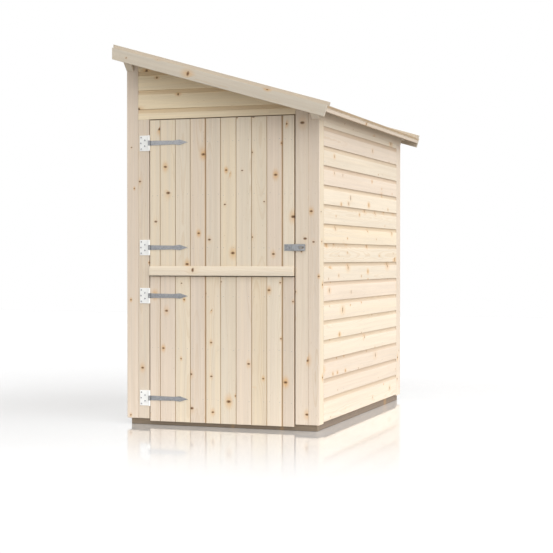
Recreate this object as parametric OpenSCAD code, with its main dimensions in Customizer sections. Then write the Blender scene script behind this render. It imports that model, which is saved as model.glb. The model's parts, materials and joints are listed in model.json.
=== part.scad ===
// Small timber garden shed with a single-slope roof and a two-leaf stable door.
// The origin is at ground level, in the middle of the roof's plan.
// The door faces -Y, the roof falls towards +X and +Z is up.

/* [Walls] */
// Width over the corner boards, across the slope of the roof
wall_w = 1205; // [1150:5:1500]
// Length over the corner boards, from the front to the back
wall_l = 1897; // [1500:5:2400]
// Thickness of the wall cladding, corner boards and jamb boards
cladding_t = 18; // [14:1:24]
// Height of the lower edge of the cladding above the ground
cladding_z = 46; // [46:1:60]
// Height of the lower end of the corner boards and jamb boards
corner_board_z = 37; // [25:1:45]
// Side of the square posts, studs and rafters
frame_t = 45; // [38:1:50]
// Number of studs between the corner posts of each side wall
side_stud_count = 3; // [2:1:5]
// Number of studs between the corner posts of the back wall
back_stud_count = 2; // [1:1:3]

/* [Corner boards] */
// Width of the left front corner board, and of the two on the back
corner_board_w = 75; // [70:1:90]
// Width of the right front corner board
right_corner_board_w = 66; // [64:1:80]
// Width of the side walls' front corner boards
side_front_board_w = 66; // [50:1:80]
// Width of the side walls' back corner boards
side_back_board_w = 92; // [50:1:110]

/* [Base and floor] */
// Height of the bearers that lie on the ground
bearer_h = 45; // [38:1:45]
// Number of inner bearers between the two side bearers
inner_bearer_count = 3; // [1:1:5]
// Thickness of the floor boards
floor_t = 18; // [16:1:24]

/* [Roof] */
// Height of the gable boards where they are lowest, at the right edge of the door
gable_h = 77; // [66:1:140]
// Slope of the roof in degrees
roof_slope = 16.3; // [12:0.1:20]
// Reach of the roof past the high side wall
high_overhang = 15; // [5:1:60]
// Reach of the roof past the low side wall
low_overhang = 102; // [70:1:140]
// Reach of the roof past the front wall and the back wall
end_overhang = 170; // [120:1:220]
// Thickness of the deck boards
deck_t = 18; // [15:1:22]
// Height of the battens that lie on the deck's front and back edges
batten_h = 20; // [15:1:30]
// Width of those battens
batten_w = 38; // [25:1:60]
// Thickness of the bargeboards
bargeboard_t = 18; // [15:1:24]
// Depth of the bargeboards, square to the slope
bargeboard_h = 66; // [56:1:80]
// Depth of the strip under the ends of the deck boards
eave_strip_h = 18; // [12:1:25]
// Width of the strip under the ends of the deck boards
eave_strip_w = 40; // [25:1:50]
// Gap between that strip and the deck boards above it
eave_strip_gap = 0.3; // [0.1:0.1:1]
// Height of the purlin on the high side wall, at its middle
high_purlin_h = 90; // [75:1:95]
// Height of the middle purlin and of the one on the low side wall
low_purlin_h = 75; // [65:1:80]
// Thickness of the purlins' ends where they hold the bargeboards
purlin_nose_h = 26; // [20:1:40]
// Depth of the rafters inside the front and back walls, square to the slope
rafter_h = 60; // [45:1:70]

/* [Door] */
// Width of the left jamb board
left_jamb_board_w = 70; // [68:1:90]
// Width of the door opening between the jamb boards
door_w = 916; // [800:1:920]
// Height of the top of the door opening
door_head_z = 1816; // [1500:1:2000]
// Height of the lower edge of the lower leaf
leaf_z = 24; // [20:1:40]
// Height of the gap between the two leaves
split_z = 884; // [750:1:950]
// Gap around the leaves
leaf_gap = 6; // [6:1:8]
// Gap between the lower leaf and the upper leaf
split_gap = 5; // [5:1:8]
// Thickness of the leaves' boards
leaf_t = 18; // [15:1:20]
// Thickness of the ledges and braces behind the boards
ledge_t = 20; // [15:1:25]
// Width of the ledges and braces
ledge_h = 95; // [70:1:100]
// Distance from the ends of the ledges to the leaf's edges
ledge_inset = 40; // [30:1:80]
// Height of the weather rail on the upper leaf
rail_h = 56; // [40:1:70]
// Thickness of the weather rail
rail_t = 20; // [12:1:20]
// Height of the lintel over the door
lintel_h = 45; // [38:1:45]
// Width of the door stops
stop_w = 10; // [8:1:14]
// Depth of the door stops
stop_d = 20; // [15:1:30]

/* [Hinges] */
// Distance from the upper leaf's top edge down to its top hinge
upper_top_hinge_drop = 135; // [90:1:200]
// Distance from the upper leaf's lower edge up to its bottom hinge
upper_bottom_hinge_rise = 166; // [110:1:220]
// Distance from the lower leaf's top edge down to its top hinge
lower_top_hinge_drop = 115; // [60:1:180]
// Distance from the lower leaf's lower edge up to its bottom hinge
lower_bottom_hinge_rise = 136; // [100:1:200]
// Height of the hinge plates
hinge_plate_h = 92; // [70:1:100]
// Width of the hinge plates, from the pin
hinge_plate_w = 63; // [50:1:66]
// Length of the straps, from the pin
strap_l = 245; // [200:5:320]
// Height of the straps at the pin
strap_h = 28; // [20:1:34]
// Thickness of the plates and straps
hinge_t = 3; // [2:0.5:4]
// Radius of the hinge pins
pin_r = 3; // [2:0.5:4]

/* [Hasp] */
// Distance from the upper leaf's lower edge up to the hasp
hasp_rise = 164; // [90:1:400]
// Height of the hasp and its plate
hasp_h = 38; // [30:1:50]
// Width of the hasp's plate, from the pin
hasp_plate_w = 50; // [40:1:60]
// Length of the hasp, from the pin
hasp_l = 77; // [76:1:100]
// Distance from the hasp's pin to the edge of the upper leaf
hasp_setback = 10; // [8:1:20]
// Reach of the staple from the jamb board
staple_reach = 24; // [20:1:35]

/* [Hidden] */
$fn = 48;

// Colours of the woods and metals
pale_wood = "burlywood";
cream_wood = "wheat";
grey_wood = "tan";
dark_steel = "dimgray";
white_paint = "whitesmoke";

// Walls in plan: the roof's plan is centred on the origin
roof_w = wall_w + high_overhang + low_overhang;
roof_l = wall_l + 2 * end_overhang;
roof_x0 = -roof_w / 2;
roof_x1 = roof_w / 2;
left_x = roof_x0 + high_overhang;
right_x = roof_x1 - low_overhang;
front_y = -wall_l / 2;
back_y = wall_l / 2;
roof_front_y = -roof_l / 2;
roof_back_y = roof_l / 2;

// Faces of the frame behind the cladding
frame_x0 = left_x + cladding_t;
frame_x1 = right_x - cladding_t;
frame_y0 = front_y + cladding_t;
frame_y1 = back_y - cladding_t;
floor_z = bearer_h + floor_t;

// The lower leaf closes in front of the base, so the base stands back from it
base_setback = 6;
base_y0 = front_y + leaf_t + base_setback;

// Door opening
door_x0 = left_x + corner_board_w + left_jamb_board_w;
door_x1 = door_x0 + door_w;

// Depths below the roof's top line, square to the slope
deck_d0 = batten_h;
deck_d1 = deck_d0 + deck_t;
bargeboard_d1 = batten_h + bargeboard_h;
rafter_d1 = deck_d1 + rafter_h;

// The roof's highest edge, found from the gable boards beside the door
roof_rise = (door_x1 - roof_x0) * tan(roof_slope);
roof_top_z = door_head_z + gable_h + deck_d1 / cos(roof_slope) + roof_rise;

// Purlins are as wide as the frame, and flush with the outside of the walls
high_purlin_z = roof_z(left_x + frame_t / 2, deck_d1) - high_purlin_h;
low_purlin_z = roof_z(right_x - frame_t / 2, deck_d1) - low_purlin_h;
middle_purlin_x = (left_x + right_x) / 2;
middle_purlin_z = roof_z(middle_purlin_x, deck_d1) - low_purlin_h;

// Leaves
leaf_x0 = door_x0 + leaf_gap;
leaf_x1 = door_x1 - leaf_gap;
upper_leaf_z0 = split_z + split_gap;
upper_leaf_z1 = door_head_z - leaf_gap;
stop_y0 = base_y0;

// Heights of the hinges and the hasp
upper_top_hinge_z = upper_leaf_z1 - upper_top_hinge_drop;
upper_bottom_hinge_z = upper_leaf_z0 + upper_bottom_hinge_rise;
lower_top_hinge_z = split_z - lower_top_hinge_drop;
lower_bottom_hinge_z = leaf_z + lower_bottom_hinge_rise;
hasp_z = upper_leaf_z0 + hasp_rise;

// Hinge pins stand in front of the gap at the left edge of the leaves
pin_x = door_x0 + leaf_gap / 2;
pin_offset = 8;
pin_y = front_y - pin_offset;
pin_clearance = 0.08;
knuckle_r = 6.5;
knuckle_gap = 1;
plate_clearance = 1.5;
strap_waist = 0.8;
strap_waist_at = 0.62;
strap_bulge = 1.1;
strap_bulge_at = 0.8;

// Hasp pin, slot and staple
hasp_pin_x = leaf_x1 - hasp_setback;
hasp_pin_y = front_y - 6.5;
hasp_pin_r = 2;
hasp_knuckle_r = 4.5;
hasp_t = 3;
hasp_middle_h = 18;
staple_r = 2.5;
staple_w = 16;
slot_play = 4;
slot_h = 13;
hasp_end = 8;
staple_x = hasp_pin_x + hasp_l - hasp_end - slot_play - staple_r - staple_w / 2;

// Height of the roof at x, at depth d below its top line
function roof_z(x, d) = roof_top_z - (x - roof_x0) * tan(roof_slope) - d / cos(roof_slope);

// Point u up the slope from the roof's low end, which is cut square, at depth d
function roof_point(u, d) = [
    roof_x1 - d * sin(roof_slope) - u * cos(roof_slope),
    roof_z(roof_x1, 0) - d * cos(roof_slope) + u * sin(roof_slope)
];

// Outline in XZ, pushed along Y from y0 to y1
module along_y(y0, y1) {
    translate([0, y1, 0]) rotate([90, 0, 0]) linear_extrude(y1 - y0) children();
}

// Outline in YZ, pushed along X from x0 to x1
module along_x(x0, x1) {
    translate([x0, 0, 0]) rotate([90, 0, 90]) linear_extrude(x1 - x0) children();
}

// Square timber from its two opposite corners
module block(x0, x1, y0, y1, z0, z1) {
    translate([x0, y0, z0]) cube([x1 - x0, y1 - y0, z1 - z0]);
}

// Upright round rod
module rod(x, y, z0, z1, r) {
    translate([x, y, z0]) cylinder(r = r, h = z1 - z0);
}

// Outline of a layer of the roof between two depths, plumb at the high end
module roof_layer(d0, d1) {
    polygon([
        [roof_x0, roof_z(roof_x0, d0)],
        roof_point(0, d0),
        roof_point(0, d1),
        [roof_x0, roof_z(roof_x0, d1)]
    ]);
}

// Keeps what lies under the roof's line at depth d
module under_roof(d) {
    intersection() {
        children();
        along_y(roof_front_y, roof_back_y) polygon([
            [roof_x0, 0],
            [roof_x1, 0],
            [roof_x1, roof_z(roof_x1, d)],
            [roof_x0, roof_z(roof_x0, d)]
        ]);
    }
}

// Timber that reaches up to the underside of the roof at depth d
module to_roof(x0, x1, y0, y1, z0, d) {
    under_roof(d) block(x0, x1, y0, y1, z0, roof_top_z);
}

// Side view of a purlin that runs out to the bargeboards with bevelled ends
module purlin_side(z0) {
    nose_y = roof_back_y - bargeboard_t;
    nose_z = z0 + low_purlin_h - purlin_nose_h;
    polygon([
        [front_y, z0],
        [back_y, z0],
        [back_y + nose_z - z0, nose_z],
        [nose_y, nose_z],
        [nose_y, roof_top_z],
        [-nose_y, roof_top_z],
        [-nose_y, nose_z],
        [front_y - nose_z + z0, nose_z]
    ]);
}

module wall_purlin(x0, z0) {
    under_roof(deck_d1) along_x(x0, x0 + frame_t) purlin_side(z0);
}

module front_bearer() {
    color(cream_wood) block(frame_x0, frame_x1, base_y0, base_y0 + frame_t, 0, bearer_h);
}

module back_bearer() {
    color(cream_wood) block(frame_x0, frame_x1, frame_y1 - frame_t, frame_y1, 0, bearer_h);
}

module long_bearers() {
    pitch = (frame_x1 - frame_x0 - frame_t) / (inner_bearer_count + 1);
    color(cream_wood) for (i = [0 : inner_bearer_count + 1]) {
        x = frame_x0 + i * pitch;
        block(x, x + frame_t, base_y0 + frame_t, frame_y1 - frame_t, 0, bearer_h);
    }
}

module floor_boards() {
    color(pale_wood) block(frame_x0, frame_x1, base_y0, frame_y1, bearer_h, floor_z);
}

module corner_posts() {
    color(grey_wood) for (y = [frame_y0, frame_y1 - frame_t]) {
        block(frame_x0, frame_x0 + frame_t, y, y + frame_t, floor_z, high_purlin_z);
        block(frame_x1 - frame_t, frame_x1, y, y + frame_t, floor_z, low_purlin_z);
    }
}

module door_posts() {
    color(grey_wood) for (x = [door_x0 - frame_t, door_x1]) {
        to_roof(x, x + frame_t, frame_y0, frame_y0 + frame_t, floor_z, rafter_d1);
    }
}

module lintel() {
    color(grey_wood) under_roof(rafter_d1) {
        block(door_x0, door_x1, frame_y0, frame_y0 + frame_t, door_head_z, door_head_z + lintel_h);
    }
}

module door_stops() {
    stop_gap = 0.5;
    stop_y1 = stop_y0 + stop_d;
    color(grey_wood) {
        block(door_x0, door_x0 + stop_w, stop_y0, stop_y1, floor_z, door_head_z);
        block(door_x1 - stop_w, door_x1, stop_y0, stop_y1, floor_z, door_head_z);
        block(door_x0 + stop_w + stop_gap, door_x1 - stop_w - stop_gap, stop_y0, stop_y1,
              door_head_z - stop_w, door_head_z);
    }
}

module side_studs() {
    pitch = (frame_y1 - frame_y0 - frame_t) / (side_stud_count + 1);
    color(grey_wood) for (i = [1 : side_stud_count]) {
        y = frame_y0 + i * pitch;
        block(frame_x0, frame_x0 + frame_t, y, y + frame_t, floor_z, high_purlin_z);
        block(frame_x1 - frame_t, frame_x1, y, y + frame_t, floor_z, low_purlin_z);
    }
}

module back_studs() {
    pitch = (frame_x1 - frame_x0 - frame_t) / (back_stud_count + 1);
    color(grey_wood) for (i = [1 : back_stud_count]) {
        x = frame_x0 + i * pitch;
        to_roof(x, x + frame_t, frame_y1 - frame_t, frame_y1, floor_z, rafter_d1);
    }
}

module high_purlin() {
    color(pale_wood) wall_purlin(left_x, high_purlin_z);
}

module middle_purlin() {
    x = middle_purlin_x - frame_t / 2;
    color(pale_wood) {
        to_roof(x, x + frame_t, frame_y0 + frame_t, frame_y1 - frame_t, middle_purlin_z, deck_d1);
    }
}

module low_purlin() {
    color(pale_wood) wall_purlin(right_x - frame_t, low_purlin_z);
}

module gable_rafters() {
    color(grey_wood) for (y = [frame_y0, frame_y1 - frame_t]) {
        difference() {
            to_roof(left_x + frame_t, right_x - frame_t, y, y + frame_t, floor_z, deck_d1);
            to_roof(roof_x0, roof_x1, y - frame_t, y + 2 * frame_t, 0, rafter_d1);
        }
    }
}

module left_wall() {
    color(cream_wood) block(left_x, frame_x0, front_y + cladding_t + side_front_board_w,
                            back_y - cladding_t - side_back_board_w, cladding_z, high_purlin_z);
}

module right_wall() {
    color(cream_wood) block(frame_x1, right_x, front_y + cladding_t + side_front_board_w,
                            back_y - cladding_t - side_back_board_w, cladding_z, low_purlin_z);
}

module back_wall() {
    color(pale_wood) {
        to_roof(left_x + corner_board_w, right_x - corner_board_w, frame_y1, back_y, cladding_z, deck_d1);
    }
}

module front_gable() {
    x0 = left_x + corner_board_w;
    color(pale_wood) to_roof(x0, door_x1, front_y, frame_y0, door_head_z, deck_d1);
}

// Corner board on the front or back wall, cut around the purlin beside it
module end_corner_board(x0, x1, y0, y1) {
    difference() {
        to_roof(x0, x1, y0, y1, corner_board_z, deck_d1);
        block(left_x, left_x + frame_t, y0, y1, high_purlin_z, roof_top_z);
        block(right_x - frame_t, right_x, y0, y1, low_purlin_z, roof_top_z);
    }
}

module left_corner_board() {
    color(pale_wood) end_corner_board(left_x, left_x + corner_board_w, front_y, frame_y0);
}

module right_corner_board() {
    color(pale_wood) end_corner_board(right_x - right_corner_board_w, right_x, front_y, frame_y0);
}

module left_jamb_board() {
    x0 = left_x + corner_board_w;
    color(pale_wood) block(x0, door_x0, front_y, frame_y0, corner_board_z, door_head_z);
}

module right_jamb_board() {
    color(pale_wood) {
        to_roof(door_x1, right_x - right_corner_board_w, front_y, frame_y0, corner_board_z, deck_d1);
    }
}

module side_corner_boards() {
    y0 = frame_y0 + side_front_board_w;
    y1 = frame_y1 - side_back_board_w;
    color(cream_wood) {
        block(left_x, frame_x0, frame_y0, y0, corner_board_z, high_purlin_z);
        block(left_x, frame_x0, y1, frame_y1, corner_board_z, high_purlin_z);
        block(frame_x1, right_x, frame_y0, y0, corner_board_z, low_purlin_z);
        block(frame_x1, right_x, y1, frame_y1, corner_board_z, low_purlin_z);
    }
}

module back_corner_boards() {
    color(pale_wood) {
        end_corner_board(left_x, left_x + corner_board_w, frame_y1, back_y);
        end_corner_board(right_x - corner_board_w, right_x, frame_y1, back_y);
    }
}

module roof_deck() {
    color(cream_wood) along_y(roof_front_y + bargeboard_t, roof_back_y - bargeboard_t) {
        roof_layer(deck_d0, deck_d1);
    }
}

module front_bargeboard() {
    color(pale_wood) along_y(roof_front_y, roof_front_y + bargeboard_t) roof_layer(deck_d0, bargeboard_d1);
}

module back_bargeboard() {
    color(pale_wood) along_y(roof_back_y - bargeboard_t, roof_back_y) roof_layer(deck_d0, bargeboard_d1);
}

module eave_strip() {
    d0 = deck_d1 + eave_strip_gap;
    d1 = deck_d1 + eave_strip_h;
    color(cream_wood) along_y(roof_front_y + bargeboard_t, roof_back_y - bargeboard_t) polygon([
        roof_point(0, d0),
        roof_point(0, d1),
        roof_point(eave_strip_w, d1),
        roof_point(eave_strip_w, d0)
    ]);
}

module edge_battens() {
    y1 = roof_back_y - bargeboard_t;
    color(grey_wood) for (y = [-y1, y1 - batten_w]) {
        along_y(y, y + batten_w) roof_layer(0, batten_h);
    }
}

// Hinge plate on the left jamb board, with its pin between two knuckles
module hinge_plate(z) {
    z0 = z - hinge_plate_h / 2;
    z1 = z + hinge_plate_h / 2;
    middle_z = strap_h / 2 + knuckle_gap;
    tab_x = pin_x - knuckle_r - plate_clearance;
    color(white_paint) {
        block(pin_x - hinge_plate_w, tab_x, front_y - hinge_t, front_y, z0, z1);
        block(tab_x, pin_x, front_y - hinge_t, front_y, z0, z - middle_z);
        block(tab_x, pin_x, front_y - hinge_t, front_y, z + middle_z, z1);
    }
    color(dark_steel) {
        rod(pin_x, pin_y, z0, z - middle_z, knuckle_r);
        rod(pin_x, pin_y, z + middle_z, z1, knuckle_r);
        rod(pin_x, pin_y, z0, z1, pin_r);
    }
}

// Outline of a strap in XZ: it narrows, swells and ends in a point
module strap_outline() {
    h = strap_h / 2;
    waist_x = strap_l * strap_waist_at;
    bulge_x = strap_l * strap_bulge_at;
    polygon([
        [0, -h],
        [waist_x, -h * strap_waist],
        [bulge_x, -h * strap_bulge],
        [strap_l, 0],
        [bulge_x, h * strap_bulge],
        [waist_x, h * strap_waist],
        [0, h]
    ]);
}

// Strap on the face of a leaf, with a knuckle that turns on the plate's pin
module hinge_strap(z) {
    z0 = z - strap_h / 2;
    z1 = z + strap_h / 2;
    color(dark_steel) difference() {
        union() {
            rod(pin_x, pin_y, z0, z1, knuckle_r);
            translate([pin_x, 0, z]) along_y(front_y - hinge_t, front_y) strap_outline();
        }
        rod(pin_x, pin_y, z0 - knuckle_gap, z1 + knuckle_gap, pin_r + pin_clearance);
    }
}

module upper_leaf_top_plate() {
    hinge_plate(upper_top_hinge_z);
}

module upper_leaf_bottom_plate() {
    hinge_plate(upper_bottom_hinge_z);
}

module lower_leaf_top_plate() {
    hinge_plate(lower_top_hinge_z);
}

module lower_leaf_bottom_plate() {
    hinge_plate(lower_bottom_hinge_z);
}

module upper_leaf_top_strap() {
    hinge_strap(upper_top_hinge_z);
}

module upper_leaf_bottom_strap() {
    hinge_strap(upper_bottom_hinge_z);
}

module lower_leaf_top_strap() {
    hinge_strap(lower_top_hinge_z);
}

module lower_leaf_bottom_strap() {
    hinge_strap(lower_bottom_hinge_z);
}

module upper_leaf_boards() {
    color(pale_wood) {
        block(leaf_x0, leaf_x1, front_y, front_y + leaf_t, upper_leaf_z0, upper_leaf_z1);
    }
}

module lower_leaf_boards() {
    color(pale_wood) block(leaf_x0, leaf_x1, front_y, front_y + leaf_t, leaf_z, split_z);
}

// Two ledges behind the boards at the hinges' heights, with a brace between them
// that rises from the hinge side
module ledges(top_z, bottom_z) {
    x0 = leaf_x0 + ledge_inset;
    x1 = leaf_x1 - ledge_inset;
    y0 = front_y + leaf_t;
    h = ledge_h / 2;
    color(grey_wood) {
        block(x0, x1, y0, y0 + ledge_t, bottom_z - h, bottom_z + h);
        block(x0, x1, y0, y0 + ledge_t, top_z - h, top_z + h);
        along_y(y0, y0 + ledge_t) polygon([
            [x0, bottom_z + h],
            [x0 + ledge_h, bottom_z + h],
            [x1, top_z - h],
            [x1 - ledge_h, top_z - h]
        ]);
    }
}

module upper_leaf_ledges() {
    ledges(upper_top_hinge_z, upper_bottom_hinge_z);
}

module lower_leaf_ledges() {
    ledges(lower_top_hinge_z, lower_bottom_hinge_z);
}

// Rail that throws rain off the gap between the leaves, with a sloping top
module weather_rail() {
    shoulder_h = 0.65 * rail_h;
    top_t = 0.4 * rail_t;
    color(pale_wood) along_x(leaf_x0, leaf_x1) polygon([
        [front_y, upper_leaf_z0],
        [front_y, upper_leaf_z0 + rail_h],
        [front_y - top_t, upper_leaf_z0 + rail_h],
        [front_y - rail_t, upper_leaf_z0 + shoulder_h],
        [front_y - rail_t, upper_leaf_z0]
    ]);
}

// Plate on the upper leaf's edge that carries the hasp's pin
module hasp_plate() {
    plate_t = 2.5;
    z0 = hasp_z - hasp_h / 2;
    z1 = hasp_z + hasp_h / 2;
    middle_z = hasp_middle_h / 2 + knuckle_gap;
    tab_x = hasp_pin_x - hasp_knuckle_r - plate_clearance;
    color(dark_steel) {
        block(hasp_pin_x - hasp_plate_w, tab_x, front_y - plate_t, front_y, z0, z1);
        for (z = [[z0, hasp_z - middle_z], [hasp_z + middle_z, z1]]) {
            block(tab_x, hasp_pin_x, front_y - plate_t, front_y, z[0], z[1]);
            rod(hasp_pin_x, hasp_pin_y, z[0], z[1], hasp_knuckle_r);
        }
        rod(hasp_pin_x, hasp_pin_y, z0, z1, hasp_pin_r);
    }
}

// Slotted flap that closes over the staple
module hasp() {
    z0 = hasp_z - hasp_h / 2;
    z1 = hasp_z + hasp_h / 2;
    y0 = hasp_pin_y - hasp_t / 2;
    y1 = hasp_pin_y + hasp_t / 2;
    neck_x = hasp_pin_x + hasp_knuckle_r + plate_clearance;
    slot_w = staple_w + 2 * staple_r + 2 * slot_play;
    middle_z = hasp_middle_h / 2;
    color(dark_steel) difference() {
        union() {
            rod(hasp_pin_x, hasp_pin_y, hasp_z - middle_z, hasp_z + middle_z, hasp_knuckle_r);
            block(hasp_pin_x, neck_x, y0, y1, hasp_z - middle_z, hasp_z + middle_z);
            block(neck_x, hasp_pin_x + hasp_l, y0, y1, z0, z1);
        }
        rod(hasp_pin_x, hasp_pin_y, z0, z1, hasp_pin_r + pin_clearance);
        block(staple_x - slot_w / 2, staple_x + slot_w / 2, y0 - hasp_t, y1 + hasp_t,
              hasp_z - slot_h / 2, hasp_z + slot_h / 2);
    }
}

// Bent rod on the right jamb board that takes a padlock
module staple() {
    bar_y = front_y - staple_reach + staple_r;
    color(dark_steel) {
        for (x = [staple_x - staple_w / 2, staple_x + staple_w / 2]) {
            translate([x, front_y, hasp_z]) rotate([90, 0, 0]) cylinder(r = staple_r, h = front_y - bar_y);
            translate([x, bar_y, hasp_z]) sphere(r = staple_r);
        }
        translate([staple_x - staple_w / 2, bar_y, hasp_z]) rotate([0, 90, 0]) {
            cylinder(r = staple_r, h = staple_w);
        }
    }
}

front_bearer();
back_bearer();
long_bearers();
floor_boards();
corner_posts();
door_posts();
lintel();
door_stops();
side_studs();
back_studs();
high_purlin();
middle_purlin();
low_purlin();
gable_rafters();
left_wall();
right_wall();
back_wall();
front_gable();
left_corner_board();
right_corner_board();
left_jamb_board();
right_jamb_board();
side_corner_boards();
back_corner_boards();
roof_deck();
front_bargeboard();
back_bargeboard();
eave_strip();
edge_battens();
upper_leaf_top_plate();
upper_leaf_bottom_plate();
lower_leaf_top_plate();
lower_leaf_bottom_plate();
staple();
upper_leaf_boards();
upper_leaf_ledges();
weather_rail();
upper_leaf_top_strap();
upper_leaf_bottom_strap();
hasp_plate();
hasp();
lower_leaf_boards();
lower_leaf_ledges();
lower_leaf_top_strap();
lower_leaf_bottom_strap();
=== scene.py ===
"""Looks of a lean-to garden shed in raw spruce: boards, timbers, fittings, fixings, floor, light and camera.

Every board is a closed profile carried along a straight path and worked out with numpy as whole arrays.
Three attributes travel with the wood: "grain" is a point's place in its own board (along, across, through, in
metres), "board" is three random shares that are the same all over one board, and "edge" is how much of a tan
multiplies in at a point: painted shade in the shiplap hollows and under their lips, and in the board joints partly
painted shade and partly the joints' own brown.
"""
import json
import logging
import math
from dataclasses import dataclass, field
from enum import Enum

import bmesh
import bpy
import numpy as np
from mathutils import Matrix, Vector

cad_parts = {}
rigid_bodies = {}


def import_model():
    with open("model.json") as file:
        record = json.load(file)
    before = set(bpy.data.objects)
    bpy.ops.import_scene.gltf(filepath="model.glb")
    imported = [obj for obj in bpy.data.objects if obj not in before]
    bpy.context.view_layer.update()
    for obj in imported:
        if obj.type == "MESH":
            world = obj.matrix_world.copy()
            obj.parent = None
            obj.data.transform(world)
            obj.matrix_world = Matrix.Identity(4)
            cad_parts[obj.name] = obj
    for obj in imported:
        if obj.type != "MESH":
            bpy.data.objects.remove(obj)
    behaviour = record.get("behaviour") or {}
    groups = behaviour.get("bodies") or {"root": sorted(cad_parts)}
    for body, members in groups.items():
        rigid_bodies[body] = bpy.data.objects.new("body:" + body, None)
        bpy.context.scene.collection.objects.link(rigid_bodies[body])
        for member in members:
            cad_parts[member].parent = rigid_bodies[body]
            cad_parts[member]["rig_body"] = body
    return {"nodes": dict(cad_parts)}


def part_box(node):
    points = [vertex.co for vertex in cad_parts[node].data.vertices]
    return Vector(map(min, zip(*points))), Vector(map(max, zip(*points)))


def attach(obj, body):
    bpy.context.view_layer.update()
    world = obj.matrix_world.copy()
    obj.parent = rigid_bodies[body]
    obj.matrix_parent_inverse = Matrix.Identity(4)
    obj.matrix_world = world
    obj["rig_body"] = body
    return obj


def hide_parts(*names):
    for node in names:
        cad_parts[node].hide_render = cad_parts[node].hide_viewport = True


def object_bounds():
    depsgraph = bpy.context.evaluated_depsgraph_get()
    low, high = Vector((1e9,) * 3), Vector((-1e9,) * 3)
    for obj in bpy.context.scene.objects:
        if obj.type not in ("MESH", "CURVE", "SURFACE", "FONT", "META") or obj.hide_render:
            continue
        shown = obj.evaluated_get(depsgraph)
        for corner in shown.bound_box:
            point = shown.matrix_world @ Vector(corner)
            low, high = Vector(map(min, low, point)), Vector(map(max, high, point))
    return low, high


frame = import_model()
CAD_BOX = [list(corner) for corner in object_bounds()]

LOG = logging.getLogger("shed")
Array = np.ndarray
Socket = bpy.types.NodeSocket
Colour = tuple[float, float, float]
X_AXIS, Y_AXIS, Z_AXIS = np.eye(3)


class Graph:
    """One material's nodes, wired by short calls. A value is a socket or a plain number."""

    def __init__(self, name: str) -> None:
        """Starts a material that holds its shader and output only."""
        self.material = bpy.data.materials.new(name)
        self.material.use_nodes = True
        self.tree = self.material.node_tree
        self.shader = self.tree.nodes["Principled BSDF"]

    def put(self, socket: Socket, value: object) -> None:
        """Links a socket to the input, or writes a plain value on it."""
        if isinstance(value, Socket):
            self.tree.links.new(value, socket)
        elif hasattr(socket.default_value, "__len__") and len(socket.default_value) == 4:
            socket.default_value = (*value, 1.0)
        else:
            socket.default_value = value

    def node(self, kind: str, **settings: object) -> bpy.types.Node:
        """Adds a node of that kind with its settings."""
        made = self.tree.nodes.new(kind)
        for key, value in settings.items():
            setattr(made, key, value)
        return made

    def math(self, operation: str, a: object, b: object = 0.0, clamp: bool = False) -> Socket:
        """Arithmetic on one or two values."""
        made = self.node("ShaderNodeMath", operation=operation, use_clamp=clamp)
        self.put(made.inputs[0], a)
        self.put(made.inputs[1], b)
        return made.outputs[0]

    def vector(self, operation: str, a: object, b: object) -> Socket:
        """Arithmetic on two vectors."""
        made = self.node("ShaderNodeVectorMath", operation=operation)
        self.put(made.inputs[0], a)
        self.put(made.inputs[1], b)
        return made.outputs["Value" if operation == "LENGTH" else "Vector"]

    def split(self, value: Socket) -> tuple[Socket, Socket, Socket]:
        """The three parts of a vector."""
        made = self.node("ShaderNodeSeparateXYZ")
        self.put(made.inputs[0], value)
        return tuple(made.outputs)

    def join(self, x: object, y: object, z: object) -> Socket:
        """A vector from three values."""
        made = self.node("ShaderNodeCombineXYZ")
        for socket, value in zip(made.inputs, (x, y, z)):
            self.put(socket, value)
        return made.outputs[0]

    def step(self, value: object, low: object, high: object, top: float = 1.0) -> Socket:
        """A smooth rise from 0 at low to top at high, falling where low is above high."""
        made = self.node("ShaderNodeMapRange", interpolation_type="SMOOTHSTEP")
        for name, amount in (("Value", value), ("From Min", low), ("From Max", high), ("To Max", top)):
            self.put(made.inputs[name], amount)
        return made.outputs[0]

    def mix(self, amount: object, a: object, b: object, blend: str = "MIX") -> Socket:
        """Two colours mixed by an amount."""
        made = self.node("ShaderNodeMix", data_type="RGBA", blend_type=blend)
        self.put(made.inputs[0], amount)
        self.put(made.inputs[6], a)
        self.put(made.inputs[7], b)
        return made.outputs[2]

    def noise(self, place: Socket, scale: float = 1.0, detail: float = 2.0, roughness: float = 0.5) -> Socket:
        """Fractal noise, about 0.5 on average."""
        made = self.node("ShaderNodeTexNoise")
        self.put(made.inputs["Vector"], place)
        for name, amount in (("Scale", scale), ("Detail", detail), ("Roughness", roughness)):
            self.put(made.inputs[name], amount)
        return made.outputs[0]

    def attribute(self, name: str) -> bpy.types.Node:
        """Reads an attribute of the mesh."""
        return self.node("ShaderNodeAttribute", attribute_name=name)

    def place(self) -> Socket:
        """The Object coordinates, in metres."""
        return self.node("ShaderNodeTexCoord").outputs["Object"]

    def bump(self, height: Socket, depth: float, before: Socket | None = None) -> Socket:
        """A bumped normal, with its height in units of depth metres."""
        made = self.node("ShaderNodeBump")
        made.inputs["Distance"].default_value = depth
        self.put(made.inputs["Height"], height)
        if before is not None:
            self.put(made.inputs["Normal"], before)
        return made.outputs[0]

    def finish(self, colour: object, roughness: object, normal: Socket, **plain: float) -> bpy.types.Material:
        """Ties the surface together and gives the material back."""
        self.put(self.shader.inputs["Base Color"], colour)
        self.put(self.shader.inputs["Roughness"], roughness)
        self.put(self.shader.inputs["Normal"], normal)
        for name, value in plain.items():
            self.shader.inputs[name.replace("_", " ")].default_value = value
        return self.material


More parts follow.
